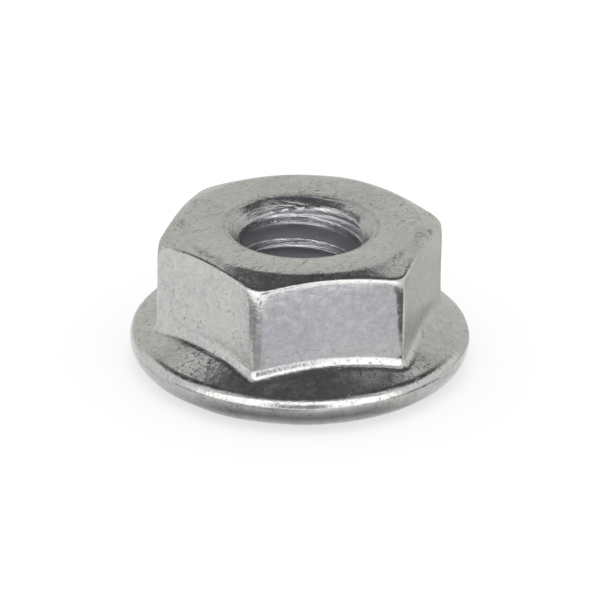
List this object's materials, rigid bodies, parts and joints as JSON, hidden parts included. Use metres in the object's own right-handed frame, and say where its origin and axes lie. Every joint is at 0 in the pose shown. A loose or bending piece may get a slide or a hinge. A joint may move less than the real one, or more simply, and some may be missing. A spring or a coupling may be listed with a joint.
{
  "type": "serrated flange nut",
  "caption": "Hexagon nut forged in one piece with a round flange whose underside carries ratchet teeth that hold it against loosening.",
  "frame": {"origin": "centre of the bearing side, on the plane of the tooth tips", "axes": "+Z along the bore towards the wrench end, +X through one corner of the hexagon"},
  "size_m": [0.0134, 0.0134, 0.0057],
  "materials": {
    "zinc_plated_steel": "bright zinc plating, barrel plated, with fine scratches and small pits"
  },
  "bodies": {
    "root": {"flange_nut": "zinc_plated_steel"}
  },
  "joints": []
}
